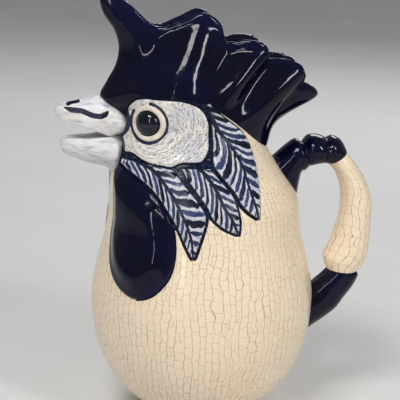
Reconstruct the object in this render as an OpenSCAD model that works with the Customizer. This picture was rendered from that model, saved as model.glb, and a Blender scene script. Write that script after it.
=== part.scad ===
// Rooster pitcher in glazed earthenware: a thrown body with a cast head, an open
// beak to pour from and a lobed comb that is the vessel's open rim.
// The beak points along -X, the handle along +X, and the foot stands on z = 0.

/* [Body] */
// Largest outer radius of the belly
belly_r = 78; // [74:1:82]
// Height of the widest part of the belly
belly_z = 86; // [82:1:90]
// How far below the table the belly's curve would close
belly_sink_depth = 2; // [1:0.5:4]
// Outer radius of the neck where the head begins
neck_r = 66.5; // [64:0.5:69]
// Height from the belly's widest part to the neck, where the head begins
neck_h = 64; // [60:1:68]
// Thickness of the vessel's wall
wall = 6; // [4.5:0.5:7]
// Thickness of the vessel's floor
floor_t = 8; // [6:1:12]

/* [Foot] */
// Height of the foot ring
foot_h = 7; // [5:1:9]
// Width of the foot ring
foot_w = 8; // [6:1:10]
// Rounding of the foot ring's lower edges
foot_round = 1.5; // [1:0.5:2.5]

/* [Head] */
// Height from the neck to where the head has settled to its full form
head_h = 65; // [62:1:68]
// How far below that the mandibles meet
mouth_drop_h = 15; // [13:0.5:17]
// Half the head's length, from beak side to tail side
head_half_l = 50; // [48:0.5:52]
// Half the head's width
head_half_w = 39; // [37:0.5:41]
// How far the head's middle leans towards the beak
head_lean = 10; // [8:0.5:12]
// Radius of the pouring hole between the mandibles
pour_r = 6; // [4:0.5:6.5]

/* [Comb] */
// How far above the mouth line the comb sits at the beak
front_rise_h = 16; // [14:0.5:17]
// How far the comb's seat climbs from the beak to the brow
brow_rise_h = 14; // [12:0.5:16]
// How far the comb's seat falls from the brow to the back of the head
back_drop_h = 37; // [34:1:40]
// Length of the comb, from its horn to its last lobe
comb_l = 150; // [144:1:154]
// Height of the horn's tip above the seat at the beak
comb_h = 83; // [78:1:86]
// How far in front of the vessel's axis the horn's tip stands
comb_front = 71; // [69:1:73]
// Half the comb's width across its rims
comb_half_w = 21; // [19:0.5:23]
// Height of the rounding along the rim
rim_round = 7; // [5:0.5:8]
// How far the lobes swell out between their grooves
lobe_swell = 4; // [2:0.5:5]
// How far the comb's front root reaches out over the beak, as a share of the beak's length
nose_share = 0.253; // [0.18:0.005:0.28]
// How deep the horn's front edge is drawn in
waist_depth = 8; // [5:0.5:9]
// How deep the last lobe's underside is drawn in
stern_depth = 8; // [4:0.5:9]

/* [Beak] */
// Distance from the vessel's axis to the upper mandible's tip
beak_reach = 103.5; // [99:0.5:107]
// How far the lower mandible's tip stands back from the upper one's
beak_underbite = 3; // [1:0.5:5]
// Height of the upper mandible's ridge above the mouth line
upper_h = 26.5; // [24:0.5:27.5]
// Depth of the lower mandible below the mouth line
lower_h = 22; // [20:0.5:24]
// Half the upper mandible's width at its root
beak_half_w = 17; // [15:0.5:18]
// Thickness of a mandible's side
beak_wall = 7; // [5:0.5:8]

/* [Face] */
// Angle of the eye round the head, from the tail side
eye_angle = 229.5; // [226:0.5:233]
// Height of the eye's middle, as a share of the way from the wattles' foot to the brow
eye_share = 0.867; // [0.85:0.005:0.88]
// Radius of the eye
eye_r = 8.2; // [7:0.2:9]
// Width of the raised ring round the eye
eye_ring_w = 4.4; // [3:0.2:5]
// Height of the eye's dome above the ring's floor
eye_dome_h = 5; // [4:0.5:7]
// Thickness of the raised ring
eye_ring_t = 2.2; // [1.5:0.1:3]
// Thickness of the face patch
face_t = 1.6; // [1:0.1:2.5]

/* [Feathers] */
// Thickness of each feather
feather_t = 2.2; // [1.5:0.1:3]
// Height of the feathers' lowest tip, as a share of the way from the wattles' foot to the brow
feather_low_share = 0.232; // [0.21:0.005:0.25]
// Angle between neighbouring feathers' edges
feather_gap_angle = 1; // [0.6:0.1:1.6]

/* [Wattles] */
// How far the wattles hang below the mouth line
wattle_drop_h = 101.5; // [98:0.5:105]
// Height of the wattles' top, as a share of the way from their foot to the brow
wattle_top_share = 0.635; // [0.62:0.005:0.64]
// Thickness of a wattle at its middle
wattle_t = 7; // [5:0.5:9]

/* [Handle] */
// How far the handle stands out beyond the belly
handle_reach = 42; // [38:1:46]
// How far the handle's top stands above the comb's seat at the back
crest_rise_h = 6; // [4:0.5:7]
// Height of the handle, from its lowest point to its top
handle_h = 145; // [142:1:148]
// Half the handle's width across the hand
handle_half_w = 14; // [12:0.5:16]

/* [Hidden] */

// Glazes
cream = [0.93, 0.87, 0.76];
navy = [0.04, 0.04, 0.16];
pale_blue = [0.78, 0.80, 0.86];
black = [0.02, 0.02, 0.04];

// Heights above the table
neck_z = belly_z + neck_h;
head_z = neck_z + head_h;
mouth_z = head_z - mouth_drop_h;
seat_front_z = mouth_z + front_rise_h;
seat_brow_z = seat_front_z + brow_rise_h;
seat_back_z = seat_brow_z - back_drop_h;
wattle_low_z = mouth_z - wattle_drop_h;
handle_low_z = seat_back_z + crest_rise_h - handle_h;
// How far the beak and the comb's root over it stand out
beak_l = beak_reach - head_lean - head_half_l;
nose_l = beak_l * nose_share;

// Luted pieces stand this far from what carries them, the thickness of the glaze between them
seat_gap = 0.3;
// Exponent of the belly's lower curve
belly_power = 2.3;
// Edges round the revolved shells, and round the lofted head
round_fn = 96;
head_sides = 48;
// Heights of the rings of a shell, as shares of its height
body_ring_shares = [0, 0.02, 0.05, 0.09, 0.14, 0.2, 0.27, 0.35, 0.44, 0.54, 0.64, 0.74, 0.83, 0.92, 1];
head_ring_shares = [0, 0.13, 0.26, 0.39, 0.52, 0.65, 0.78, 0.9, 1];
// How much of the climb to head_z each measure needs to settle
length_settle_share = 0.84;
width_settle_share = 0.925;
lean_settle_share = 0.7;
// The brow rises between these angles from the beak, and falls to the back over the last span
brow_start = 10;
brow_span = 35;
back_start = 76;
back_span = 95;

function smooth(t) = let (u = max(0, min(1, t))) u * u * (3 - 2 * u);
function blend(a, b, t) = a + (b - a) * t;
function unit(v) = v / norm(v);
function last(list) = len(list) - 1;
function mirrored(points) = [for (p = points) [p.x, -p.y, p.z]];

// Value of a table at a place t counted in rows, on a curve through its rows
function curve(rows, t) =
    let (
        i = max(0, min(last(rows) - 1, floor(t))),
        u = t - i,
        p0 = rows[max(0, i - 1)],
        p1 = rows[i],
        p2 = rows[i + 1],
        p3 = rows[min(last(rows), i + 2)]
    )
    p1 + (p2 - p0) * u / 2
    + (p0 * 2 - p1 * 5 + p2 * 4 - p3) * u * u / 2
    + ((p1 - p2) * 3 + p3 - p0) * u * u * u / 2;

// Radius of the body at a height
function body_at(z) = z < belly_z
    ? belly_r * pow(1 - pow((belly_z - z) / (belly_z + belly_sink_depth), belly_power), 1 / belly_power)
    : blend(belly_r, neck_r, smooth((z - belly_z) / (neck_z - belly_z)));

// Half length, half width and middle of the vessel at a height
function climb(z) = (z - neck_z) / (head_z - neck_z);
function half_l(z) = blend(body_at(z), head_half_l, smooth(climb(z) / length_settle_share));
function half_w(z) = blend(body_at(z), head_half_w, smooth(climb(z) / width_settle_share));
function middle(z) = -head_lean * smooth(climb(z) / lean_settle_share);

// A point that stands out from the vessel's outer skin, by angle from the tail side and height
function skin(angle, z, out) =
    [middle(z) + (half_l(z) + out) * cos(angle), (half_w(z) + out) * sin(angle), z];
// Distance in x from the vessel's middle to its skin, at a place across and a height
function skin_reach(y, z) = half_l(z) * sqrt(max(0, 1 - pow(y / half_w(z), 2)));
// Millimetres of skin for each degree, at an angle and a height
function skin_rate(angle, z) =
    norm([half_l(z) * sin(angle), half_w(z) * cos(angle)]) * PI / 180;

// Height of the comb's seat at an angle from the beak
function seat_z(turn) =
    seat_front_z
    + (seat_brow_z - seat_front_z) * smooth((turn - brow_start) / brow_span)
    - (seat_brow_z - seat_back_z) * smooth((turn - back_start) / back_span);
function from_beak(angle) = abs(180 - angle);
// Height on the chart that all reliefs share, from the wattles' foot to the brow
function chart_z(share) = blend(wattle_low_z, seat_brow_z, share);

// Faces of a closed tube of rings, with each ring's points in order
function ring_faces(rings, sides) = [
    for (i = [0:rings - 2], j = [0:sides - 1])
        let (a = i * sides + j, b = i * sides + (j + 1) % sides)
        each [[a, b, b + sides], [a, b + sides, a + sides]]
];
// A cap whose triangles run to and fro between a ring's two halves, so it may be a thin crescent
function ladder(first, sides) = [
    for (j = [0:sides / 2 - 2])
        let (a = first + j, b = first + sides - 1 - j)
        each [[a, a + 1, b - 1], [a, b - 1, b]]
];
function turned(faces) = [for (f = faces) [f[2], f[1], f[0]]];

// A solid through rings of equal count: each ring is a closed loop, the ends are capped
module loft(rings) {
    sides = len(rings[0]);
    count = len(rings);
    polyhedron(
        points = [for (r = rings) each r],
        faces = concat(
            turned(ring_faces(count, sides)),
            ladder(0, sides),
            turned(ladder((count - 1) * sides, sides))
        )
    );
}

// A solid through rings that close on themselves
module loop_loft(rings) {
    loop = concat(rings, [rings[0]]);
    sides = len(rings[0]);
    total = len(rings) * sides;
    faces = turned(ring_faces(len(loop), sides));
    polyhedron(
        points = [for (r = rings) each r],
        faces = [for (f = faces) [for (k = f) k % total]]
    );
}

module paired(side) {
    mirror([0, side == "right" ? 1 : 0, 0]) children();
}

// Body and foot
module foot_ring() {
    outer = body_at(foot_h);
    inner = outer - foot_w;
    color(cream)
    rotate_extrude($fn = round_fn)
    polygon([
        [inner, foot_h], [inner, foot_round], [inner + foot_round, 0],
        [outer - foot_round, 0], [outer, foot_round], [outer, foot_h]
    ]);
}

module body_shell() {
    inner_low = foot_h + floor_t;
    outside = [for (s = body_ring_shares) let (z = blend(foot_h, neck_z, s)) [body_at(z), z]];
    inside = [for (s = body_ring_shares) let (z = blend(inner_low, neck_z, s)) [body_at(z) - wall, z]];
    color(cream)
    rotate_extrude($fn = round_fn)
    polygon(concat(
        [[0, foot_h]],
        outside,
        [for (i = [last(inside):-1:0]) inside[i]],
        [[0, inner_low]]
    ));
}

// Head
module head_shell() {
    columns = [for (k = [0:head_sides - 1]) k * 360 / head_sides];
    function wall_ring(angle) =
        let (top = seat_z(from_beak(angle)))
        concat(
            [for (s = head_ring_shares) skin(angle, blend(neck_z, top, s), 0)],
            [for (i = [last(head_ring_shares):-1:0])
                skin(angle, blend(neck_z, top, head_ring_shares[i]), -wall)]
        );
    color(cream)
    difference() {
        loop_loft([for (angle = columns) wall_ring(angle)]);
        translate([middle(mouth_z) - half_l(mouth_z) + wall * 2, 0, mouth_z])
        rotate([0, -90, 0])
        cylinder(r = pour_r, h = wall * 3, $fn = round_fn);
    }
}

// Comb. Each station has an angle from 0 at the horn to 180 at the last lobe. The rim's points
// are shares of the comb's length and height, four to a lobe: tip, slope, valley, slope.
rim_shares = [
    [0.004, 0.994], [0.114, 0.872], [0.222, 0.705], [0.328, 0.750],
    [0.440, 0.826], [0.526, 0.742], [0.556, 0.600], [0.622, 0.612],
    [0.690, 0.608], [0.729, 0.575], [0.715, 0.466], [0.786, 0.462],
    [0.862, 0.450], [0.892, 0.402], [0.857, 0.292], [0.918, 0.268], [0.968, 0.218]
];
stations_per_row = 3;
// How the lobes' roots fan out over the head
fan_skew = 13;
fan_twist = 14;
// Lobes round the whole rim, and how closely the tips' forms keep to the two ends
lobe_count = 8;
tip_power = 12;
// Exponent of the rim's plan, and how much smaller the mouth's plan is
plan_power = 0.6;
mouth_l_share = 0.62;
mouth_w_share = 0.5;
// Height shares of a station's outer wall, and how far out or in the horn's front and the last
// lobe's underside run at each of them
outer_shares = [0, 0.12, 0.27, 0.42, 0.57, 0.72, 0.87, 1];
nose_shares = [0, 1, 0.42, 0, 0, 0, 0, 0];
waist_shares = [0, 0, 0, 0.41, 0.9, 0.76, 0.1, 0];
stern_shares = [0, 0.35, 0.8, 1.05, 0.95, 0.55, 0.05, 0];
// Places across the land between rim and mouth, and how much of the rounding each one keeps
land_shares = [0.1, 0.35, 0.7];
land_round_shares = [0.75, 1, 0.75];
inner_shares = [1, 0.66, 0.33, 0];

rows_of_rim = last(rim_shares);
comb_stations = rows_of_rim * stations_per_row;
comb_mid = comb_l / 2 - comb_front;

function rim_point(a) =
    let (s = curve(rim_shares, a * rows_of_rim / 180))
    [s[0] * comb_l - comb_front, seat_front_z + s[1] * comb_h];
rim_profile = [for (k = [0:comb_stations]) rim_point(k * 180 / comb_stations)];
function plan_w(a) = comb_half_w * pow(sin(a), plan_power);
function root_turn(a) = a + fan_skew * sin(a) + fan_twist * sin(2 * a);
function lobeness(a) = (1 + cos(lobe_count * a)) / 2;
function at_tip(a) = pow(max(0, cos(a)), tip_power);

// The near wall's cross-section at a station, from its outer root over the rim to its inner root
function comb_section(a) =
    let (
        turn = root_turn(a),
        low = seat_z(turn) + seat_gap,
        root = skin(180 + turn, low, 0),
        root_in = skin(180 + turn, low, -wall),
        rim = rim_point(a),
        dent = lobe_swell * (1 - lobeness(a)) * sin(a),
        edge = [rim.x - rim_round / 2 * cos(a), dent - plan_w(a), rim.y - rim_round],
        inner_x = blend(comb_mid, rim.x, mouth_l_share),
        inner = [inner_x, -plan_w(a) * mouth_w_share, lookup(inner_x, rim_profile) - rim_round]
    )
    concat(
        [for (i = [0:last(outer_shares)])
            blend(root, edge, outer_shares[i])
            + at_tip(a) * [waist_depth * waist_shares[i] - nose_l * nose_shares[i], 0, 0]
            - at_tip(180 - a) * [stern_depth * stern_shares[i], 0, 0]
            - [0, lobe_swell * (lobeness(a) - 0.5) * sin(a) * sin(180 * outer_shares[i]), 0]],
        [for (i = [0:last(land_shares)])
            let (p = blend(edge, inner, land_shares[i]))
            [p.x, p.y, min(rim.y, lookup(p.x, rim_profile)) + rim_round * (land_round_shares[i] - 1)]],
        [for (s = inner_shares) blend(root_in, inner, s)]
    );

module comb() {
    near = [for (k = [0:comb_stations]) comb_section(k * 180 / comb_stations)];
    far = [for (k = [comb_stations - 1:-1:1]) mirrored(near[k])];
    color(navy) loop_loft(concat(near, far));
}

// Beak. Each row is a station from root to tip: place along, ridge, lip, half width
upper_shares = [
    [0, 0.62, 0.01, 0.90], [0.07, 0.71, 0.01, 1.02], [0.15, 0.80, 0.01, 1.04],
    [0.24, 0.91, 0.02, 0.95], [0.34, 0.99, 0.08, 0.80], [0.46, 0.97, 0.15, 0.71],
    [0.6, 0.91, 0.22, 0.62], [0.8, 0.84, 0.32, 0.46], [0.92, 0.79, 0.38, 0.31],
    [0.98, 0.71, 0.45, 0.18], [1, 0.63, 0.52, 0.06]
];
lower_shares = [
    [0, 1.3, 0.01, 0.86], [0.07, 1.13, 0.01, 0.97], [0.15, 1.04, 0.01, 0.99],
    [0.27, 1, 0.03, 0.90], [0.4, 0.96, 0.08, 0.78], [0.55, 0.89, 0.11, 0.68],
    [0.7, 0.8, 0.12, 0.58], [0.86, 0.68, 0.13, 0.43], [0.96, 0.55, 0.18, 0.25],
    [1, 0.42, 0.26, 0.08]
];
arc_steps = 10;
// How far the outer arc turns from the ridge down to a lip: past 90 degrees, so lips draw in
lip_turn = 112;
// Narrowest and highest the hollow under a mandible is, as shares of its width and height
hollow_w_share = 1 / 3;
hollow_h_share = 0.35;

// A mandible's cross-section: an outer arc from lip to lip over the ridge, and an inner arc back
function mandible_ring(s, h, reach, sign) =
    let (
        ridge = mouth_z + sign * h * s[1],
        lip = mouth_z + sign * h * s[2],
        w = beak_half_w * s[3],
        w_in = max(w * hollow_w_share, w - beak_wall),
        z_in = blend(lip, ridge, hollow_h_share)
    )
    concat(
        [for (k = [0:arc_steps]) let (a = blend(-lip_turn, lip_turn, k / arc_steps))
            mandible_point(s[0], w * sin(a), blend(lip, ridge, lip_climb(a)), reach)],
        [for (k = [0:arc_steps]) let (a = blend(90, -90, k / arc_steps))
            mandible_point(s[0], w_in * sin(a), blend(lip, z_in, cos(a)), reach)]
    );
// Height share on the outer arc: 0 at the lips, 1 at the ridge
function lip_climb(a) = (cos(a) - cos(lip_turn)) / (1 - cos(lip_turn));
function mandible_point(along, y, z, reach) =
    [blend(middle(z) - skin_reach(y, z) - seat_gap, -reach, along), y, z];

module mandible(rows, h, reach, sign) {
    rings = [for (s = rows) mandible_ring(s, h, reach, sign)];
    loft(sign > 0 ? rings : [for (i = [last(rings):-1:0]) rings[i]]);
}

module upper_beak() {
    color(pale_blue) mandible(upper_shares, upper_h, beak_reach, 1);
}

module lower_beak() {
    color(pale_blue) mandible(lower_shares, lower_h, beak_reach - beak_underbite, -1);
}

// Reliefs. A relief lies on the skin between two edges, each a row of [angle, height] points
edge_share = 0.2;
end_share = 0.04;
across_shares = [0, 0.06, 0.28, 0.5, 0.72, 0.94, 1];

// Height of a relief's crown, from 0 at its edges to 1 at its highest line. That line lies in the
// middle, or nearer the right edge where skew is above 1.
function crown(t, power) = pow(max(0, sin(180 * t)), power);

module relief(left, right, thick, power, skew = 1) {
    rows = len(left);
    cols = len(across_shares);
    function lift(i, t) =
        thick * (edge_share + (1 - edge_share) * crown(pow(t, skew), power)
        * crown(blend(end_share, 1 - end_share, i / (rows - 1)), power));
    function chart(i, t) = blend(left[i], right[i], t);
    lower = [for (i = [0:rows - 1]) [for (t = across_shares)
        let (c = chart(i, t)) skin(c[0], c[1], seat_gap)]];
    upper = [for (i = [0:rows - 1]) [for (t = across_shares)
        let (c = chart(i, t)) skin(c[0], c[1], seat_gap + lift(i, t))]];
    loft([for (i = [0:rows - 1]) concat(lower[i], [for (j = [cols - 1:-1:0]) upper[i][j]])]);
}

// Discs and rings on the skin, with a profile of [radius, height out] points
disc_sides = 24;
disc_turns = [for (k = [0:disc_sides - 1]) k * 360 / disc_sides];
function disc_point(angle, z, p, turn, base) =
    skin(angle + p[0] * cos(turn) / skin_rate(angle, z), z + p[0] * sin(turn), base + p[1]);

module skin_disc(angle, z, profile, base) {
    loft([for (p = profile) [for (turn = disc_turns) disc_point(angle, z, p, turn, base)]]);
}

module skin_ring(angle, z, profile, base) {
    loop_loft([for (turn = disc_turns) [for (p = profile) disc_point(angle, z, p, turn, base)]]);
}

// Face patch: angles, and the heights of its two edges as shares of the way from the chin to the
// brow. Where the comb's seat is lower, the upper edge follows the seat.
face_rows = [
    [205, 0.12, 0.98], [211, 0.13, 0.98], [218, 0.13, 0.98], [226, 0.06, 0.98],
    [234, 0.02, 0.98], [241, 0.01, 0.98], [248.5, 0, 0.98], [256, 0.06, 0.97],
    [264, 0.07, 0.93], [270, 0.08, 0.87], [275, 0.17, 0.75], [277.5, 0.3, 0.6]
];
face_low_share = 0.662;
// Clearance between the patch and the comb's seat
brow_gap = 1;
// Exponents of the crowns: the smaller, the flatter the relief's middle
face_crown = 0.3;

module face() {
    function face_z(share) = chart_z(blend(face_low_share, 1, share));
    lower = [for (r = face_rows) [r[0], face_z(r[1])]];
    upper = [for (r = face_rows) [r[0], min(seat_z(from_beak(r[0])) - brow_gap, face_z(r[2]))]];
    relief(lower, upper, face_t, face_crown);
}

module left_face() { color(pale_blue) face(); }
module right_face() { color(pale_blue) paired("right") face(); }

eye_z = chart_z(eye_share);
eye_base = seat_gap + face_t + seat_gap;
// Clearance between the ring and the eye's dome
ring_gap = 0.3;
// The ring's cross-section, in shares of its width and thickness
ring_shares = [[0, 0], [0, 0.6], [0.33, 1], [0.75, 0.9], [1, 0.3], [1, 0]];
// Where the eye's dome springs, as a share of the ring's thickness, and the angles of its rings
dome_low_share = 0.25;
dome_turns = [0, 25, 45, 65, 80];

module eye_ring() {
    profile = [for (s = ring_shares) [eye_r + eye_ring_w * s[0], eye_ring_t * s[1]]];
    skin_ring(eye_angle, eye_z, profile, eye_base);
}

module eye() {
    r = eye_r - ring_gap;
    dome = [for (a = dome_turns) [r * cos(a), eye_ring_t * dome_low_share + eye_dome_h * sin(a)]];
    skin_disc(eye_angle, eye_z, concat([[r, 0]], dome), eye_base);
}

module left_eye_ring() { color(pale_blue) eye_ring(); }
module right_eye_ring() { color(pale_blue) paired("right") eye_ring(); }
module left_eye() { color(black) eye(); }
module right_eye() { color(black) paired("right") eye(); }

// Feathers: rows of [height share, front angle, rear angle], from the face down to the tip.
// The shares run from the lowest tip to the comb's seat over the eyes.
feather_crown = 0.5;
feather_front_rows = [
    [0.575, 204, 224], [0.555, 203, 246], [0.535, 203, 251.5], [0.485, 219, 254.5],
    [0.430, 230, 258], [0.370, 236.5, 261.5], [0.290, 241.5, 264.5], [0.210, 246, 263.5],
    [0.110, 250.5, 261], [0.040, 253.7, 259.2], [0, 255.9, 258]
];
feather_middle_rows = [
    [0.560, 255, 276], [0.510, 256.5, 279], [0.450, 259.5, 282], [0.390, 262.3, 284],
    [0.330, 265, 283.8], [0.270, 266.5, 283.6], [0.210, 271.5, 283.5], [0.170, 277.5, 283.2],
    [0.150, 281.5, 283]
];
feather_rear_rows = [
    [0.870, 278.5, 288.5], [0.820, 279, 298], [0.760, 279.5, 307], [0.700, 279.5, 314],
    [0.640, 279, 316.5], [0.580, 278, 315.5], [0.520, 280, 312], [0.450, 283.5, 307],
    [0.390, 285.3, 303], [0.340, 286, 300], [0.290, 289, 298], [0.245, 294, 296]
];

module feather(rows) {
    inset = feather_gap_angle / 2;
    relief(
        [for (r = rows) [r[1] + inset, chart_z(blend(feather_low_share, 1, r[0]))]],
        [for (r = rows) [r[2] - inset, chart_z(blend(feather_low_share, 1, r[0]))]],
        feather_t, feather_crown
    );
}

module left_front_feather() { color(pale_blue) feather(feather_front_rows); }
module right_front_feather() { color(pale_blue) paired("right") feather(feather_front_rows); }
module left_middle_feather() { color(pale_blue) feather(feather_middle_rows); }
module right_middle_feather() { color(pale_blue) paired("right") feather(feather_middle_rows); }
module left_rear_feather() { color(pale_blue) feather(feather_rear_rows); }
module right_rear_feather() { color(pale_blue) paired("right") feather(feather_rear_rows); }

// Wattles: rows of [height share, front angle, rear angle], from the chin down
wattle_rows = [
    [1, 200, 201.5], [0.965, 195.5, 210.5], [0.94, 193.5, 217], [0.875, 193, 228.5],
    [0.795, 194.5, 236], [0.69, 195.5, 241.5], [0.57, 195.5, 245], [0.445, 195.5, 246.5],
    [0.315, 198.5, 246.5], [0.2, 203, 244.5], [0.11, 209, 240.5], [0.045, 216, 236],
    [0.01, 222.5, 231], [0, 226, 228]
];

wattle_crown = 0.6;
wattle_skew = 1.7;

module wattle() {
    relief(
        [for (r = wattle_rows) [r[1], chart_z(wattle_top_share * r[0])]],
        [for (r = wattle_rows) [r[2], chart_z(wattle_top_share * r[0])]],
        wattle_t, wattle_crown, wattle_skew
    );
}

module left_wattle() { color(navy) wattle(); }
module right_wattle() { color(navy) paired("right") wattle(); }

// Handle. It hangs from under the comb. Each rib crosses it from its inner to its outer side:
// inner x and z, outer x and z, half width. x counts from the belly in shares of the reach, z in
// shares of the handle's height.
crest_ribs = [
    [-0.245, 0.806, -0.500, 0.950, 0.95], [-0.165, 0.825, -0.350, 0.978, 0.92],
    [-0.105, 0.842, -0.245, 0.965, 0.85], [-0.048, 0.847, -0.150, 0.993, 0.95],
    [0.020, 0.852, -0.045, 1, 0.98], [0.090, 0.855, 0.075, 0.995, 0.94],
    [0.135, 0.856, 0.170, 0.984, 0.85], [0.165, 0.857, 0.285, 0.993, 0.9],
    [0.190, 0.856, 0.420, 0.972, 0.88], [0.212, 0.855, 0.510, 0.930, 0.8],
    [0.224, 0.855, 0.531, 0.915, 0.74]
];
grip_ribs = [
    [0.224, 0.855, 0.531, 0.915, 0.76], [0.319, 0.825, 0.671, 0.863, 0.82],
    [0.398, 0.783, 0.843, 0.789, 0.88], [0.443, 0.737, 0.955, 0.718, 0.93],
    [0.464, 0.684, 1, 0.652, 0.96], [0.457, 0.613, 1, 0.575, 0.98],
    [0.383, 0.517, 1, 0.503, 1], [0.288, 0.443, 0.976, 0.398, 1.02],
    [0.217, 0.401, 0.912, 0.347, 0.98], [0.221, 0.370, 0.852, 0.325, 0.9],
    [0.281, 0.326, 0.793, 0.312, 0.8]
];
tail_ribs = [
    [0.281, 0.326, 0.793, 0.312, 0.76], [0.262, 0.316, 0.833, 0.289, 0.8],
    [0.17, 0.290, 0.757, 0.240, 0.82], [0.08, 0.268, 0.600, 0.176, 0.84],
    [0.02, 0.250, 0.412, 0.107, 0.88]
];
// Seats on the vessel: middle height and half height, as shares of the handle's height
upper_seat_shares = [0.795, 0.095];
lower_seat_shares = [0.12, 0.115];
tail_seat_share = 0.95;
rib_sides = 16;

function handle_point(x_share, z_share) =
    [belly_r + x_share * handle_reach, handle_low_z + z_share * handle_h];
function rib_ring(r, slack) =
    let (
        inner = handle_point(r[0], r[1]),
        outer = handle_point(r[2], r[3]),
        mid = (inner + outer) / 2,
        arm = (outer - inner) / 2,
        along = unit([arm.y, -arm.x]) * slack
    )
    [for (k = [0:rib_sides - 1]) let (
        a = k * 360 / rib_sides,
        p = mid + along + arm * cos(a)
    ) [p.x, handle_half_w * r[4] * sin(a), p.y]];
// Rings, from a small one outwards, on which the handle's end lies against the vessel's back
seat_ring_shares = [0.05, 0.4, 0.7, 1];
function seat_ring(shares, w, sign, size) =
    [for (k = [0:rib_sides - 1]) let (
        a = k * 360 / rib_sides,
        z = handle_low_z + handle_h * (shares[0] + sign * size * shares[1] * cos(a)),
        y = w * size * sin(a)
    ) [middle(z) + skin_reach(y, z) + seat_gap, y, z]];

module handle_crest() {
    color(navy)
    loft(concat(
        [for (size = seat_ring_shares) seat_ring(upper_seat_shares, handle_half_w, 1, size)],
        [for (r = crest_ribs) rib_ring(r, 0)]
    ));
}

module handle_grip() {
    color(cream)
    loft([for (i = [0:last(grip_ribs)]) rib_ring(grip_ribs[i], i == 0 ? seat_gap : 0)]);
}

module handle_tail() {
    color(navy)
    loft(concat(
        [for (i = [0:last(tail_ribs)]) rib_ring(tail_ribs[i], i == 0 ? seat_gap : 0)],
        [for (i = [last(seat_ring_shares):-1:0])
            seat_ring(lower_seat_shares, handle_half_w * tail_seat_share, -1, seat_ring_shares[i])]
    ));
}

foot_ring();
body_shell();
head_shell();
comb();
upper_beak();
lower_beak();
left_face();
right_face();
left_eye_ring();
right_eye_ring();
left_eye();
right_eye();
left_front_feather();
right_front_feather();
left_middle_feather();
right_middle_feather();
left_rear_feather();
right_rear_feather();
left_wattle();
right_wattle();
handle_crest();
handle_grip();
handle_tail();
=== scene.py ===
"""Rooster pitcher in crackle-glazed earthenware, dressed for the render.

Forms are worked out in millimetres, in the part's own frame, and become metres in make_mesh.
"""

import math

import bpy
import numpy as np
from mathutils import Matrix, Vector
from numpy.linalg import norm


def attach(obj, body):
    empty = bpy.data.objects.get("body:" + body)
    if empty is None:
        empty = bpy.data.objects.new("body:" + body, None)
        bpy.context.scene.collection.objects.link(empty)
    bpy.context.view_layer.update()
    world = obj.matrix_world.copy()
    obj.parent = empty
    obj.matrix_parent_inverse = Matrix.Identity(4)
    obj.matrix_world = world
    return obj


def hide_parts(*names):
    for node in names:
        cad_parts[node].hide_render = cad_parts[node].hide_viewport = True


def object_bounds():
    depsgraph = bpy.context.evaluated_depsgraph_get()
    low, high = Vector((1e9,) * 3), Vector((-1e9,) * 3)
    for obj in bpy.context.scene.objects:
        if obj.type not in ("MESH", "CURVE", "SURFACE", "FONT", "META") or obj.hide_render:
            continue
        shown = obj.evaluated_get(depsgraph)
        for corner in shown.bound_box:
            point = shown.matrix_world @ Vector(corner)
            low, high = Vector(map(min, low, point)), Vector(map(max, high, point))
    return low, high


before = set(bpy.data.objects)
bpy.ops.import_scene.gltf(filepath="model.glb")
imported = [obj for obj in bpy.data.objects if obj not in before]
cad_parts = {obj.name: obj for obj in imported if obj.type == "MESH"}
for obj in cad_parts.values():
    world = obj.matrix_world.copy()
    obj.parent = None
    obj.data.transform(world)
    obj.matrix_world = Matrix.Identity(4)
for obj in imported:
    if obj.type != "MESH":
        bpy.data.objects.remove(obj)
cad_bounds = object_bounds()

MM = 0.001
scene = bpy.context.scene

# Vessel: the same form as the part's
BELLY_R, BELLY_Z, BELLY_SINK, BELLY_POWER = 78, 86, 2, 2.3
NECK_R, NECK_Z, HEAD_Z = 66.5, 150, 215
HEAD_HALF_L, HEAD_HALF_W, HEAD_LEAN = 50, 39, 10
LENGTH_SETTLE, WIDTH_SETTLE, LEAN_SETTLE = 0.84, 0.925, 0.7
WALL, FLOOR_T, POUR_R = 6, 8, 6
FOOT_H, FOOT_W, FOOT_ROUND, FOOT_SINK = 7, 8, 1.5, 0.2
SEAT_FRONT_Z, SEAT_BROW_Z, SEAT_BACK_Z = 216, 230, 193
# Where round the head the comb's seat climbs and falls: first angle from the beak, and span
SEAT_RISE, SEAT_FALL = (10, 35), (76, 95)
# The sign of y on each side
SIDES = {"left": 1, "right": -1}
WAVE_COUNT = 5


def smooth(t):
    t = np.clip(t, 0, 1)
    return t * t * (3 - 2 * t)


def grown(value, start, span):
    """0 up to start, then smoothly up to 1 over span."""
    return smooth((value - start) / span)


def within(value, centre, half, span):
    """0 from half away from the centre on, and smoothly up to 1 over span toward it."""
    return smooth((half - np.abs(value - centre)) / span)


def hump(value, centre, width):
    """A bell curve, 1 at its centre."""
    return np.exp(-((value - centre) / width) ** 2)


def blend(a, b, t):
    return a + (b - a) * t


def body_at(z):
    """Radius of the egg-shaped body, which narrows to the neck and stays so above it."""
    low = 1 - np.clip((BELLY_Z - z) / (BELLY_Z + BELLY_SINK), 0, 1) ** BELLY_POWER
    high = blend(BELLY_R, NECK_R, grown(z, BELLY_Z, NECK_Z - BELLY_Z))
    return np.where(z < BELLY_Z, BELLY_R * low ** (1 / BELLY_POWER), high)


def climb(z):
    """How far a height lies on the way from the neck to the middle of the head."""
    return (z - NECK_Z) / (HEAD_Z - NECK_Z)


def half_l(z):
    return blend(body_at(z), HEAD_HALF_L, smooth(climb(z) / LENGTH_SETTLE))


def half_w(z):
    return blend(body_at(z), HEAD_HALF_W, smooth(climb(z) / WIDTH_SETTLE))


def middle(z):
    return -HEAD_LEAN * smooth(climb(z) / LEAN_SETTLE)


def points_of(*places):
    """Points from their x, y and z, or chart points from degrees round the vessel and height."""
    return np.stack(np.broadcast_arrays(*places), -1)


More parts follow.
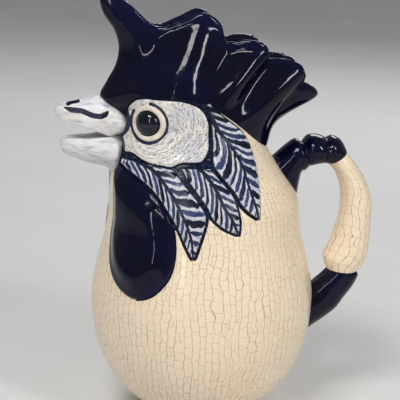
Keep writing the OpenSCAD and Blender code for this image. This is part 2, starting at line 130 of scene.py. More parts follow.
def skin(chart, out=0):
    """Points that stand out from the vessel's skin, at chart points."""
    turn, z = np.radians(chart[..., 0]), chart[..., 1]
    x = middle(z) + (half_l(z) + out) * np.cos(turn)
    y = (half_w(z) + out) * np.sin(turn)
    return points_of(x, y, z)


def skin_normal(chart):
    """Unit normals of the skin at chart points."""
    step = 0.05
    here = skin(chart)
    n = np.cross(skin(chart + [step, 0]) - here, skin(chart + [0, step]) - here)
    return n / norm(n, axis=-1, keepdims=True)


def skin_reach(y, z):
    """How far the skin stands from its middle along x, beside the pitcher's middle plane."""
    return half_l(z) * np.sqrt(np.clip(1 - (y / half_w(z)) ** 2, 0, 1))


def skin_rate(angle, z):
    """Millimetres of skin to a degree of angle."""
    turn = np.radians(angle)
    return np.hypot(half_l(z) * np.sin(turn), half_w(z) * np.cos(turn)) * math.pi / 180


def seat_z(turn):
    """Height of the comb's seat on the head, turn degrees away from the beak."""
    return (SEAT_FRONT_Z + (SEAT_BROW_Z - SEAT_FRONT_Z) * grown(turn, *SEAT_RISE)
            - (SEAT_BROW_Z - SEAT_BACK_Z) * grown(turn, *SEAT_FALL))


def once_round(count):
    """Evenly spaced angles of one full turn, in degrees."""
    return np.arange(count) * 360 / count


def ripple(points, depth, size, seed):
    """Soft uneven waves over points, up to depth high and about size long.

    A constant that holds waves gives depth, size and seed.
    """
    waves = np.random.default_rng(seed)
    total = np.zeros(points.shape[:-1])
    for _ in range(WAVE_COUNT):
        way = waves.normal(size=3)
        way *= 2 * math.pi / size / norm(way)
        total += np.sin(points @ way + waves.uniform(0, 2 * math.pi))
    return depth * total / WAVE_COUNT


def curve(rows, t, closed=False):
    """Values on the smooth curve through rows of numbers, at places t counted in rows."""
    rows = np.asarray(rows, float)
    last = len(rows) if closed else len(rows) - 1
    t = np.asarray(t, float)
    i = np.clip(np.floor(t).astype(int), 0, last - 1)
    u = (t - i).reshape(t.shape + (1,) * (rows.ndim - 1))

    def row(k):
        return rows[k % len(rows)] if closed else rows[np.clip(k, 0, len(rows) - 1)]

    a, b, c, d = row(i - 1), row(i), row(i + 1), row(i + 2)
    return (b + (c - a) * u / 2 + (2 * a - 5 * b + 4 * c - d) * u * u / 2
            + (3 * (b - c) + d - a) * u ** 3 / 2)


def refine(rows, count, closed=False):
    """Rows upsampled to count rows on their smooth curve."""
    last = len(rows) if closed else len(rows) - 1
    return curve(rows, np.linspace(0, last, count, endpoint=not closed), closed)


def normals_of(grid, closed_u, closed_v):
    """Unit normals of a grid of points."""
    def slope(axis, closed):
        if closed:
            return np.roll(grid, -1, axis) - np.roll(grid, 1, axis)
        return np.gradient(grid, axis=axis)

    n = np.cross(slope(0, closed_u), slope(1, closed_v))
    return n / np.maximum(norm(n, axis=-1, keepdims=True), 1e-9)


# Meshes
def new_object(name, data):
    """An object in the scene with the given mesh, light or camera."""
    thing = bpy.data.objects.new(name, data)
    scene.collection.objects.link(thing)
    return thing


def make_mesh(name, points, faces, paint):
    """An object from points in millimetres, kept inside the CAD's box, with grids of paint."""
    mesh = bpy.data.meshes.new(name)
    mesh.from_pydata(np.clip(points * MM, *cad_bounds).tolist(), [], faces)
    for key, values in paint.items():
        kind = "FLOAT" if values.ndim == 2 else "FLOAT_VECTOR"
        field = mesh.attributes.new(key, kind, "POINT")
        field.data.foreach_set("value" if kind == "FLOAT" else "vector",
                               values.astype(np.float32).ravel())
    mesh.validate()
    mesh.update()
    mesh.shade_smooth()
    return new_object(name, mesh)


def loft(name, rings, paint=None, loop=False, side="left"):
    """A closed solid through rings of points, which are mirrored for the right side."""
    count, around = rings.shape[:2]
    index = np.arange(count * around).reshape(count, around)
    low = index if loop else index[:-1]
    high = np.roll(index, -1, 0) if loop else index[1:]
    quads = np.stack([low, np.roll(low, -1, 1), np.roll(high, -1, 1), high], -1).reshape(-1, 4)
    if not loop:
        j = np.arange(around // 2 - 1)
        cap = np.stack([j, j + 1, around - 2 - j, around - 1 - j], -1)
        quads = np.concatenate([quads, index[0][cap[:, ::-1]], index[-1][cap]])
    points = rings.reshape(-1, 3) * [1, SIDES[side], 1]
    if signed_volume(points, quads) < 0:
        quads = quads[:, ::-1]
    return make_mesh(name, points, quads.tolist(), paint or {})


def signed_volume(points, quads):
    """A number with the sign of the volume that the faces enclose."""
    a, b, c, d = (points[quads[:, k]] for k in range(4))
    return (a * (np.cross(b, c) + np.cross(c, d))).sum()


def painted(ink, tone=0):
    """Attributes of painted lines, which cover where ink is above zero."""
    return {"ink": ink, "tone": np.full(ink.shape, tone)}


def dress(piece, glaze, *nodes, slot=None):
    """The piece rides on the pitcher, stands for its CAD nodes and gets its glaze."""
    slot = slot or f"{glaze}_glaze"
    piece.data.materials.append(GLAZES[glaze])
    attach(piece, "root")
    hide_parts(*nodes)


# Materials
SHADER_SOCKETS = ("Base Color", "Roughness", "Normal", "Specular IOR Level")


def new_material(look):
    """A material from a look, which gives the shader's values in the order of its sockets.

    A look works from where, the output with the piece's own coordinates.
    """
    material = bpy.data.materials.new(look.__name__)
    material.use_nodes = True
    nodes = material.node_tree.nodes
    values = look(nodes.new("ShaderNodeTexCoord").outputs["Object"])
    for key, value in zip(SHADER_SOCKETS, values):
        fill(nodes["Principled BSDF"].inputs[key], value)
    return material


def fill(socket, value):
    """Set a socket to a number or colour, or link another node's output to it."""
    if isinstance(value, bpy.types.NodeSocket):
        socket.id_data.links.new(value, socket)
    else:
        socket.default_value = value


def add(kind, inputs, **settings):
    """A shader node; inputs are other nodes' outputs, numbers or colours, an output first."""
    node = next(iter(inputs.values())).id_data.nodes.new("ShaderNode" + kind)
    for key, value in settings.items():
        setattr(node, key, value)
    for key, value in inputs.items():
        fill(node.inputs[key], value)
    return node


def attribute(where, name, output="Fac"):
    node = where.id_data.nodes.new("ShaderNodeAttribute")
    node.attribute_name = name
    return node.outputs[output]


def noise(where, scale, detail=3, roughness=0.55):
    return add("TexNoise", {"Vector": where, "Scale": scale, "Detail": detail,
                            "Roughness": roughness}).outputs["Fac"]


def math_node(operation, a, b=0, c=0, clamp=False):
    return add("Math", {0: a, 1: b, 2: c}, operation=operation, use_clamp=clamp).outputs[0]


def ramp(value, low, high, to_low=0, to_high=1):
    return add("MapRange", {"Value": value, "From Min": low, "From Max": high,
                            "To Min": to_low, "To Max": to_high},
               interpolation_type="SMOOTHSTEP").outputs["Result"]


def mottle(where, scale, low, high, to_low=0, to_high=1):
    """Soft patches of noise, from to_low to to_high."""
    return ramp(noise(where, scale), low, high, to_low, to_high)


def times(a, b):
    return math_node("MULTIPLY", a, b)


def sway(value, swing, base, clamp=False):
    """A base moved by swing times how far a value is from a half."""
    off = math_node("SUBTRACT", value, 0.5)
    return math_node("MULTIPLY_ADD", off, swing, base, clamp=clamp)


def mix(factor, a, b):
    return add("Mix", {0: factor, 6: a, 7: b}, data_type="RGBA").outputs[2]


def bump(height, distance, strength, before=None):
    """Normals of a relief whose distance is in millimetres, over those of another one."""
    inputs = {"Height": height, "Distance": distance * MM, "Strength": strength}
    if before is not None:
        inputs["Normal"] = before
    return add("Bump", inputs).outputs["Normal"]


# Glaze colours
NAVY = (0.0016, 0.0016, 0.011, 1)
NAVY_THIN = (0.006, 0.006, 0.046, 1)
NAVY_SPECK = (0.12, 0.13, 0.2, 1)
INK_BLUE = (0.038, 0.065, 0.16, 1)
INK_BLACK = (0.003, 0.004, 0.013, 1)
CREAM = (0.92, 0.77, 0.57, 1)
CREAM_DEEP = (0.86, 0.69, 0.48, 1)
CRACK_TAN = (0.34, 0.2, 0.1, 1)
BEAK_WHITE = (0.8, 0.79, 0.78, 1)
BEAK_LAVENDER = (0.4, 0.4, 0.5, 1)
BEAK_WARM = (0.72, 0.66, 0.56, 1)
FACE_WHITE = (0.8, 0.77, 0.69, 1)
FACE_GREY = (0.66, 0.64, 0.66, 1)
SCRATCH_GREY = (0.19, 0.18, 0.2, 1)
FEATHER_WHITE = (0.68, 0.67, 0.69, 1)
FEATHER_LAVENDER = (0.41, 0.42, 0.55, 1)
FEATHER_WASH = (0.22, 0.27, 0.42, 1)
RING_WHITE = (0.82, 0.76, 0.64, 1)
RING_ROSE = (0.7, 0.6, 0.52, 1)
PUPIL_BLACK = (0.002, 0.002, 0.006, 1)
PUPIL_BLUE = (0.004, 0.005, 0.02, 1)


def ink_over(where, base, sharp=0.14, wobble=0.5, streak=None):
    """Painted dark lines where the attribute ink is above zero, bluer where tone is high.

    Gives the colour, and 1 where it is painted.
    """
    edge = sway(noise(where, 900, 2), wobble, attribute(where, "ink"))
    depth = ramp(edge, -sharp, sharp)
    streak = streak or noise(where, 420, 4, 0.7)
    tone = sway(streak, 2.6, attribute(where, "tone"), clamp=True)
    ink = mix(tone, INK_BLACK, INK_BLUE)
    return mix(depth, base, ink), depth


def line_at(place, half):
    """1 on the whole numbers of a place, falling to 0 over half a line's width on each side."""
    off = math_node("PINGPONG", place, 0.5)
    return ramp(off, half * 0.4, half * 1.3, 1, 0)


def chance(a, b):
    """A random number from 0 to 1 for each pair of whole numbers."""
    pair = add("CombineXYZ", {"X": a, "Y": b}).outputs[0]
    return add("TexWhiteNoise", {"Vector": pair}).outputs["Value"]


def wandering(place, where, drifts):
    """A place moved to and fro by noises of the given scales and strengths."""
    for scale, strength in drifts:
        place = sway(noise(where, scale, 2), strength, place)
    return place


def cracks(where):
    """Fine cracks: wandering uprights, joined by rungs that differ from column to column.

    The attribute net turns round the piece in x and y and counts rungs in z.
    """
    net = add("SeparateXYZ", {"Vector": attribute(where, "net", "Vector")}).outputs
    turn = math_node("DIVIDE", math_node("ARCTAN2", net["Y"], net["X"]), 2 * math.pi)
    across = times(turn, attribute(where, "columns"))
    across = wandering(across, where, [(40, 2.6), (190, 0.55)])
    column = math_node("FLOOR", across)
    along = wandering(net["Z"], where, [(110, 1), (300, 0.25)])
    along = math_node("MULTIPLY_ADD", chance(column, 3), 5, along)
    row = math_node("FLOOR", along)
    rungs = line_at(along, 0.028)
    halved = math_node("GREATER_THAN", chance(column, row), 0.84)
    halves = line_at(math_node("ADD", across, 0.5), 0.045)
    halves = times(halves, halved)
    fine = times(math_node("MAXIMUM", rungs, halves), 0.7)
    return math_node("MAXIMUM", line_at(across, 0.048), fine)


def crackle_glaze(where):
    """Cream glaze over a net of fine cracks that run mostly up and down."""
    lines = times(cracks(where), mottle(where, 75, 0.3, 0.6, 0.45, 1))
    cloud = mottle(where, 16, 0.3, 0.7)
    base = mix(times(cloud, 0.35), CREAM, CREAM_DEEP)
    base = mix(times(lines, 0.8), base, CRACK_TAN)
    colour, depth = ink_over(where, base)
    normal = bump(noise(where, 55, 2), 0.35, 0.6)
    normal = bump(lines, -0.03, 0.6, normal)
    rough = mottle(where, 90, 0.3, 0.7, 0.16, 0.26)
    gloss = ramp(depth, 0, 1, 0.5, 0.12)
    return colour, rough, normal, gloss


def navy_glaze(where):
    """Thick blue-black glaze that turns bluer where it runs thin over an edge."""
    cloud = noise(where, 38, 4, 0.6)
    thin = sway(cloud, 0.9, attribute(where, "thin"), clamp=True)
    base = mix(thin, NAVY, NAVY_THIN)
    speck = ramp(noise(where, 1500, 1), 0.74, 0.8)
    base = mix(times(speck, 0.25), base, NAVY_SPECK)
    normal = bump(noise(where, 70, 2), 0.5, 0.7)
    rough = mottle(where, 120, 0.3, 0.7, 0.05, 0.11)
    return base, rough, normal, 0.24


def beak_glaze(where):
    """Cool white glaze, greyer and lavender where it pools."""
    along = add("Mapping", {"Vector": where, "Scale": (0.35, 1, 1.4)}).outputs[0]
    streak = ramp(noise(along, 230, 5, 0.65), 0.42, 0.74)
    base = mix(streak, BEAK_WHITE, BEAK_LAVENDER)
    warm = ramp(noise(where, 40, 2), 0.45, 0.7, 0, 0.5)
    base = mix(warm, base, BEAK_WARM)
    colour, _ = ink_over(where, base)
    normal = bump(noise(along, 240, 4), 0.25, 0.6)
    rough = ramp(streak, 0, 1, 0.24, 0.36)
    return colour, rough, normal, 0.25


def face_glaze(where):
    """White glaze over scratches that swirl round the eye, with grey-blue left in them."""
    swirl = attribute(where, "swirl", "Vector")
    scratch = ramp(noise(swirl, 1, 3, 0.6), 0.52, 0.6)
    dots = add("TexVoronoi", {"Vector": where, "Scale": 620, "Randomness": 1})
    dots = ramp(dots.outputs["Distance"], 0.18, 0.36, 1, 0)
    rear = ramp(noise(where, 70, 2), 0.42, 0.62)
    dots = times(dots, times(rear, attribute(where, "stipple")))
    marks = math_node("MAXIMUM", scratch, dots)
    base = mix(mottle(where, 60, 0.4, 0.7), FACE_WHITE, FACE_GREY)
    base = mix(times(marks, 0.72), base, SCRATCH_GREY)
    colour, _ = ink_over(where, base)
    normal = bump(marks, -0.25, 0.8)
    return colour, 0.24, normal


def feather_glaze(where):
    """White ground with painted barbs, lavender where the blue has run."""
    cloud = noise(where, 300, 4, 0.65)
    streak = noise(attribute(where, "grain", "Vector"), 1, 3, 0.6)
    base = mix(ramp(cloud, 0.42, 0.72), FEATHER_WHITE, FEATHER_LAVENDER)
    base = mix(ramp(streak, 0.5, 0.7), base, FEATHER_WASH)
    colour, depth = ink_over(where, base, 0.16, 1, streak)
    normal = bump(depth, -0.15, 0.6)
    normal = bump(cloud, 0.12, 0.5, normal)
    return colour, 0.26, normal, 0.3


def ring_glaze(where):
    """Warm white glaze of the ring round the eye."""
    cloud = mottle(where, 160, 0.35, 0.7)
    base = mix(cloud, RING_WHITE, RING_ROSE)
    colour, _ = ink_over(where, base)
    normal = bump(cloud, 0.15, 0.5)
    return colour, 0.16, normal


def eye_glaze(where):
    """Blue-black dome, almost a mirror."""
    cloud = mottle(where, 130, 0.4, 0.7)
    base = mix(cloud, PUPIL_BLACK, PUPIL_BLUE)
    normal = bump(noise(where, 100, 2), 0.1, 0.5)
    return base, ramp(cloud, 0, 1, 0.03, 0.07), normal


LOOKS = {"cream": crackle_glaze, "navy": navy_glaze, "beak": beak_glaze, "face": face_glaze,
         "feather": feather_glaze, "ring": ring_glaze, "eye": eye_glaze}
GLAZES = {name: new_material(look) for name, look in LOOKS.items()}

# Charts: every relief lies between two edges on the skin. A row of a feather or wattle is
# (height share, front angle, rear angle), the eye and a point of a spine are (angle, height), and
# a row of the face is (angle, low height share, high height share).
FEATHER_LOW_Z = 129
WATTLE_LOW_Z, WATTLE_TOP_Z = 98.5, 182
FACE_LOW_Z = 185.5
EYE = np.array([229.5, 212.5])
FEATHER_INSET = np.array([0.25, 0])
BROW_GAP, RELIEF_SINK, RELIEF_BACK_STEP = 1, 0.2, 3
FEATHERS = {
    "front": [
        (0.575, 204, 224), (0.555, 203, 246), (0.535, 203, 251.5), (0.485, 219, 254.5),
        (0.43, 230, 258), (0.37, 236.5, 261.5), (0.29, 241.5, 264.5), (0.21, 246, 263.5),
        (0.11, 250.5, 261), (0.04, 253.7, 259.2), (0, 255.9, 258)],
    "middle": [
        (0.56, 255, 276), (0.51, 256.5, 279), (0.45, 259.5, 282), (0.39, 262.3, 284),
        (0.33, 265, 283.8), (0.27, 266.5, 283.6), (0.21, 271.5, 283.5), (0.17, 277.5, 283.2),
        (0.15, 281.5, 283)],
    "rear": [
        (0.925, 276, 279), (0.905, 276.5, 285.5), (0.875, 278, 290.5), (0.845, 278.5, 295.5),
        (0.8, 279, 303), (0.76, 279.5, 308.5), (0.7, 279.5, 314.5), (0.64, 279, 316.5),
        (0.58, 278, 315.5), (0.52, 280, 312), (0.45, 283.5, 307),
        (0.39, 285.3, 303), (0.34, 286, 300), (0.29, 289, 298), (0.245, 294, 296)],
}
SPINES = {
    "front": [(216, 188), (227, 185.5), (234.8, 183), (241.6, 176.3), (247.3, 167), (250.2, 158.6),
              (253.3, 150.3), (255.9, 140.3), (257, 129)],
    "middle": [(262, 189), (267.5, 185.8), (272, 178.7), (274.3, 171.4), (275.1, 163),
               (277.7, 156.5), (282.2, 144)],
    "rear": [(277.5, 221), (283.7, 210.1), (290.6, 202.5), (296.9, 195), (299.8, 185.4),
             (298.9, 181.5), (296.3, 172), (295, 164.8), (294.9, 154)],
}
WATTLE = [
    (1, 200, 201.5), (0.965, 195.5, 210.5), (0.94, 193.5, 217), (0.875, 193, 228.5),
    (0.795, 194.5, 236), (0.69, 195.5, 241.5), (0.57, 195.5, 245), (0.445, 195.5, 246.5),
    (0.315, 198.5, 246.5), (0.2, 203, 244.5), (0.11, 209, 240.5), (0.045, 216, 236),
    (0.01, 222.5, 231), (0, 226, 228)]
FACE = [
    (196, 0.33, 0.36), (199, 0.255, 0.427), (202.3, 0.185, 0.48), (204.5, 0.145, 0.57),
    (205.8, 0.135, 0.68), (207.3, 0.125, 0.79), (209.5, 0.125, 0.89), (213, 0.13, 0.98),
    (218, 0.12, 0.98), (226, 0.06, 0.98),
    (234, 0.02, 0.98), (241, 0.01, 0.98), (248.5, 0, 0.98), (256, 0.06, 0.97),
    (264, 0.07, 0.93), (270, 0.08, 0.87), (275, 0.17, 0.75), (277.5, 0.3, 0.6)]
# Painted lines, as (angle, height) and half width: round the beak's root, over it, under the
# comb's edge, and where the face meets two feathers
BRUSH_LINES = [
    ([(200, 222), (201.3, 217.5), (203.2, 212.5), (201.8, 208.1), (194.7, 204.1), (189.5, 200.4),
      (194.3, 196.6), (199, 192.6), (199.2, 187.5), (197.5, 183), (193, 178.5)], 3),
    ([(190, 215.5), (197, 215), (203.5, 218), (208, 224)], 4),
    ([(255, 229.5), (263, 228.5), (270, 227), (277, 226), (284, 222)], 2.9),
    ([(267, 222), (273, 223.3), (279, 222.5)], 1.8),
    ([(276.5, 198), (278.5, 192), (279.5, 186), (281.5, 178)], 1.8),
    ([(268.5, 188), (272, 187.8), (275, 189), (279, 187)], 2.4),
    ([(249.5, 186), (252.6, 184.2), (254.5, 181)], 1.7),
    ([(203, 188.5), (209.3, 189.3), (214.5, 189)], 1.6),
    ([(243.3, 155.5), (244.6, 151.8), (245.4, 148.5)], 1.5),
]

# Beak: each mandible's height, reach, side, and stations from root to tip, with place along,
# ridge, lip and half width
BEAK_REACH, BEAK_UNDERBITE, MOUTH_Z = 103.5, 3, 200
UPPER_H, LOWER_H, BEAK_HALF_W, BEAK_WALL = 26.5, 22, 17, 7
MANDIBLES = {
    "upper_beak": (UPPER_H, BEAK_REACH, 1, [
        (0, 0.62, 0.01, 0.9), (0.07, 0.71, 0.01, 1.02), (0.15, 0.8, 0.01, 1.04),
        (0.24, 0.91, 0.02, 0.95), (0.34, 0.99, 0.08, 0.8), (0.46, 0.97, 0.15, 0.71),
        (0.6, 0.91, 0.22, 0.62), (0.8, 0.84, 0.32, 0.46), (0.92, 0.79, 0.38, 0.31),
        (0.98, 0.71, 0.45, 0.18), (1, 0.63, 0.52, 0.06)]),
    "lower_beak": (LOWER_H, BEAK_REACH - BEAK_UNDERBITE, -1, [
        (0, 1.3, 0.01, 0.86), (0.07, 1.13, 0.01, 0.97), (0.15, 1.04, 0.01, 0.99),
        (0.27, 1, 0.03, 0.9), (0.4, 0.96, 0.08, 0.78), (0.55, 0.89, 0.11, 0.68),
        (0.7, 0.8, 0.12, 0.58), (0.86, 0.68, 0.13, 0.43), (0.96, 0.55, 0.18, 0.25),
        (1, 0.42, 0.26, 0.08)]),
}
# How far a mandible's outer arc turns from its ridge down to a lip, at the root and further out,
# and the share of its length where the second begins
ROOT_TURN, LIP_TURN, LIP_TURN_SHARE = 155, 112, 0.38
HOLLOW_W_SHARE, HOLLOW_MOST_W_SHARE, HOLLOW_H_SHARE = 1 / 3, 0.7, 0.35
# Strokes on the upper mandible, as x and z
NOSTRIL = [(-97.5, 218.3), (-93.7, 217.3), (-90, 217), (-85.5, 216.6), (-79.3, 214.2),
           (-75.8, 213.7), (-73.1, 213.8), (-70.4, 215.3), (-68.6, 217.3)]
NOSTRIL_FRONT = [(-96, 220.3), (-92.5, 221.9), (-87.4, 222.9)]
NOSTRIL_LINE, NOSTRIL_FRONT_LINE = 1.8, 1.15
NOSTRIL_CARVE, NOSTRIL_EDGE, NOSTRIL_TONE = 0.35, 0.4, 0.15
STROKE_POINTS, STROKE_TAPER, RIDGE_BARE_HALF_W = 80, 12, 1.5
BEAK_STATIONS, BEAK_OUTER_POINTS, BEAK_INNER_POINTS, BEAK_SEAT_GAP = 130, 129, 65, 0.6
BEAK_WAVES = (0.12, 9, 7)
BEAK_OUTSIDE = np.arange(BEAK_OUTER_POINTS + BEAK_INNER_POINTS) < BEAK_OUTER_POINTS


def chart_edges(rows, low, high):
    """The two edges of a relief whose rows run down, as charts of (angle, height)."""
    rows = np.array(rows, float)
    z = blend(low, high, rows[:, 0])
    return points_of(rows[:, 1], z), points_of(rows[:, 2], z)


def feather_edges(which):
    return chart_edges(FEATHERS[which], FEATHER_LOW_Z, SEAT_BROW_Z)


def wattle_edges():
    return chart_edges(WATTLE, WATTLE_LOW_Z, WATTLE_TOP_Z)


def face_edges():
    """Lower and upper edge of the face patch, which stays below the comb's seat."""
    angle, low, high = np.array(FACE, float).T
    low, high = blend(FACE_LOW_Z, SEAT_BROW_Z, low), blend(FACE_LOW_Z, SEAT_BROW_Z, high)
    high = np.minimum(seat_z(np.abs(180 - angle)) - BROW_GAP, high)
    return points_of(angle, low), points_of(angle, high)


def relief_grid(left, right, rows, cols):
    """Chart points of a relief, rows along and cols across, and how far each is from its edge."""
    across = (1 - np.cos(np.linspace(0, math.pi, cols))) / 2
    chart = blend(refine(left, rows)[:, None], refine(right, rows)[:, None], across[:, None])
    points = skin(chart)
    rim = np.concatenate([points[0], points[-1], points[:, 0], points[:, -1]])
    return chart, nearest(points, rim)


def nearest(points, targets):
    """Distance from each point to the nearest of the targets."""
    flat = points.reshape(-1, 3)
    gap = (flat ** 2).sum(1)[:, None] + (targets ** 2).sum(1) - 2 * flat @ targets.T
    return np.sqrt(np.maximum(gap.min(1), 0)).reshape(points.shape[:-1])


def relief(name, chart, lift, paint, side):
    """A closed sheet on the skin: its outer face is lifted, its inner face lies on the skin."""
    back = chart[:, ::-1][:, ::RELIEF_BACK_STEP]
    # loft closes the ends of rings that have an even count of points
    if (chart.shape[1] + back.shape[1]) % 2:
        back = back[:, :-1]
    outer = skin(chart) + lift[..., None] * skin_normal(chart)
    rings = np.concatenate([outer, skin(back, -RELIEF_SINK)], 1)
    full = {key: np.concatenate([values, np.repeat(values[:, -1:], back.shape[1], 1)], 1)
            for key, values in paint.items()}
    return loft(name, rings, full, side=side)


def rounded(distance, radius):
    """Height share of an edge rounded over a radius."""
    t = np.clip(distance / radius, 0, 1)
    return np.sqrt(1 - (1 - t) ** 2)


# Carved and painted outlines on the bare head and body: half widths along a relief's two edges,
# and across its two ends
FEATHER_LINES = {
    "front": (1.2, 1.2, 1.8, 0.8), "middle": (1.2, 1.2, 1.8, 0.8), "rear": (1.2, 0.5, 1.8, 0.8)}
FACE_LINES, WATTLE_LINES = (1.9, 1.2, 1.2, 2), (0.5, 1)
LINE_POINTS, LINE_CARVE, LINE_LOW_Z = 160, 0.7, 95
LINE_TONE, NO_INK = 0.12, -9.0


def skin_line(line):
    """Close points on the skin along a line of (angle, height)."""
    return skin(refine(line, LINE_POINTS))


def outline_targets():
    """Points along every outline with the half width of its line."""
    reliefs = [(feather_edges(which), FEATHER_LINES[which]) for which in FEATHERS]
    reliefs += [(face_edges(), FACE_LINES), (wattle_edges(), WATTLE_LINES)]
    lines = list(BRUSH_LINES)
    for (a, b), widths in reliefs:
        lines += zip((a, b, (a[0], b[0]), (a[-1], b[-1])), widths)
    return [(skin_line(line), width) for line, width in lines]


OUTLINES = outline_targets()


def outline_ink(rings):
    """How far each point lies inside an outline, in millimetres, on both sides alike."""
    ink = np.full(rings.shape[:-1], NO_INK)
    upper = rings[:, 0, 2] > LINE_LOW_Z
    x, y, z = np.moveaxis(rings[upper], -1, 0)
    folded = points_of(x, -np.abs(y), z)
    ink[upper] = np.max([width - nearest(folded, line) for line, width in OUTLINES], 0)
    return ink


# Cracks: columns round the vessel and the handle, and millimetres between rungs
VESSEL_COLUMNS, HANDLE_COLUMNS, RUNG_PITCH = 98, 13, 7.2


def crackle_paint(angle, along, columns, ink=NO_INK, tone=0):
    """Attributes of crackle glaze, from angles round the piece and millimetres along it."""
    turn, along, ink = np.broadcast_arrays(np.radians(angle), along, ink)
    net = points_of(np.cos(turn), np.sin(turn), along / RUNG_PITCH)
    return {"net": net, "columns": np.full(turn.shape, columns), **painted(ink, tone)}


# Body, head and foot, where an inner row stands for several outer ones
VESSEL_AROUND, BODY_ROWS, HEAD_ROWS, INNER_ROW_STEP = 480, 150, 110, 6
FOOT_AROUND, FOOT_ARC_POINTS = 240, 7
# How softly a carved line begins, and how far below the top edge carving fades out
CARVE_EDGE, CARVE_FADE_H = 0.3, 4
# Pouring opening: depth of the shallow pit that stands for it, and how far the pit reaches past the
# dark disc of painted shade on its floor
POUR_PIT, POUR_LINE = WALL - 0.4, 0.5


def vessel_part(low, high, rows, floor_z):
    """Rings of a shell between two heights, where high may follow the comb's seat."""
    angle = once_round(VESSEL_AROUND)
    top = high(np.abs(180 - angle))
    share = np.linspace(0, 1, rows)[:, None]
    inner_share = np.linspace(1, 0, rows // INNER_ROW_STEP)[:, None]
    outer_chart = points_of(angle, blend(low, top, share))
    inner_chart = points_of(angle, blend(floor_z, top, inner_share))
    outer = skin(outer_chart)
    ink = outline_ink(outer)
    below_top = smooth((top - outer[..., 2]) / CARVE_FADE_H)
    carve = LINE_CARVE * np.clip(ink + CARVE_EDGE, 0, 1) * below_top
    outer = outer - carve[..., None] * skin_normal(outer_chart)
    rings = np.concatenate([outer, skin(inner_chart, -WALL)])
    ink = np.concatenate([ink, np.full(inner_chart.shape[:2], NO_INK)])
    return rings, crackle_paint(angle, rings[..., 2], VESSEL_COLUMNS, ink, LINE_TONE)


def make_body():
    rings, paint = vessel_part(FOOT_H, lambda turn: NECK_Z, BODY_ROWS, FOOT_H + FLOOR_T)
    dress(loft("body", rings, paint), "cream", "body_shell")


def make_head():
    """The head, with the pouring opening as a shallow pit behind the beak, its floor painted dark as
    painted shade.
    """
    rings, paint = vessel_part(NECK_Z, seat_z, HEAD_ROWS, NECK_Z)
    from_hole = np.hypot(rings[..., 1], rings[..., 2] - MOUTH_Z)
    front = (rings[..., 0] < 0) & (np.arange(len(rings))[:, None] < HEAD_ROWS)
    # Painted shade: a dark inked disc over the pit stands for the shade inside the pouring opening
    hole_shade = np.where(front, POUR_R + POUR_LINE - from_hole, NO_INK)
    rings[..., 0] += POUR_PIT * smooth(hole_shade)
    paint["ink"] = np.maximum(paint["ink"], hole_shade - POUR_LINE)
    dress(loft("head", rings, paint, loop=True), "cream", "head_shell")


def make_foot():
    """The foot ring, from its inner wall over two rounded edges to its outer wall."""
    outer_r = body_at(FOOT_H)
    arc = np.radians(np.linspace(0, 90, FOOT_ARC_POINTS))
    rise, fall = FOOT_ROUND * (1 - np.cos(arc)), FOOT_ROUND * (1 - np.sin(arc))
    r = np.concatenate([[outer_r - FOOT_W], outer_r - FOOT_W + rise, outer_r - fall, [outer_r]])
    z = np.concatenate([[FOOT_H], fall, rise, [FOOT_H + FOOT_SINK]])
    angle = once_round(FOOT_AROUND)[:, None]
    turn = np.radians(angle)
    rings = points_of(r * np.cos(turn), r * np.sin(turn), z)
    paint = crackle_paint(angle, rings[..., 2], VESSEL_COLUMNS)
    dress(loft("foot", rings, paint, loop=True), "cream", "foot_ring")


# Comb
COMB_L, COMB_H, COMB_FRONT, COMB_HALF_W = 150, 83, 71, 21
RIM_ROUND, LOBE_SWELL, NOSE_OUT, WAIST_IN, STERN_IN = 7, 4, 11, 8, 8
RIM_SHARES = [
    (0.004, 0.994), (0.114, 0.872), (0.222, 0.705), (0.328, 0.75),
    (0.44, 0.826), (0.526, 0.742), (0.556, 0.6), (0.622, 0.612),
    (0.69, 0.608), (0.729, 0.575), (0.715, 0.466), (0.786, 0.462),
    (0.862, 0.45), (0.892, 0.402), (0.857, 0.292), (0.918, 0.268), (0.968, 0.218)]
FAN_SKEW, FAN_TWIST, PLAN_POWER = 13, 14, 0.6
MOUTH_L_SHARE, MOUTH_W_SHARE = 0.62, 0.5
# A section's outer rows, root to rim, as shares: way up, nose out, waist in, stern in; then the
# rim's rows: way inward, roundness; then the inner rows: way up
OUTER_ROWS = [
    (0, 0, 0, 0), (0.12, 1, 0, 0.35), (0.27, 0.42, 0, 0.8), (0.42, 0, 0.41, 1.05),
    (0.57, 0, 0.9, 0.95), (0.72, 0, 0.76, 0.55), (0.87, 0, 0.1, 0.05), (1, 0, 0, 0)]
RIM_ROWS, INNER_ROWS = [(0.1, 0.75), (0.35, 1), (0.7, 0.75)], [1, 0.66, 0.33, 0]
LOBE_COUNT, TIP_POWER, COMB_SINK, COMB_ROOT_OUT = 8, 12, 0.2, 0.5
COMB_SECTIONS, COMB_AROUND, COMB_STEPS, RIM_SAMPLES = 97, 576, 90, 721
# First height and span over which waves and thin glaze set in
COMB_WAVES, COMB_THIN_WAVES = (0.35, 26, 3), (0.2, 30, 5)
COMB_WAVES_Z, COMB_THIN_Z = (222, 25), (235, 60)
# How thin the glaze gets high up and on the rim; the rim's place and width along a section
HIGH_THIN, RIM_THIN, RIM_PLACE = 0.25, 0.35, (0.6, 0.09)


def rim_point(a):
    """Place of the lobed rim in side view, at angles a from the horn round to the stern."""
    s = curve(RIM_SHARES, a * (len(RIM_SHARES) - 1) / 180)
    return s[..., 0] * COMB_L - COMB_FRONT, SEAT_FRONT_Z + s[..., 1] * COMB_H


def rim_top(x):
    """Height of the rim's outline over places x."""
    profile_x, profile_z = rim_point(np.linspace(0, 180, RIM_SAMPLES))
    order = np.argsort(profile_x)
    return np.interp(x, profile_x[order], profile_z[order])


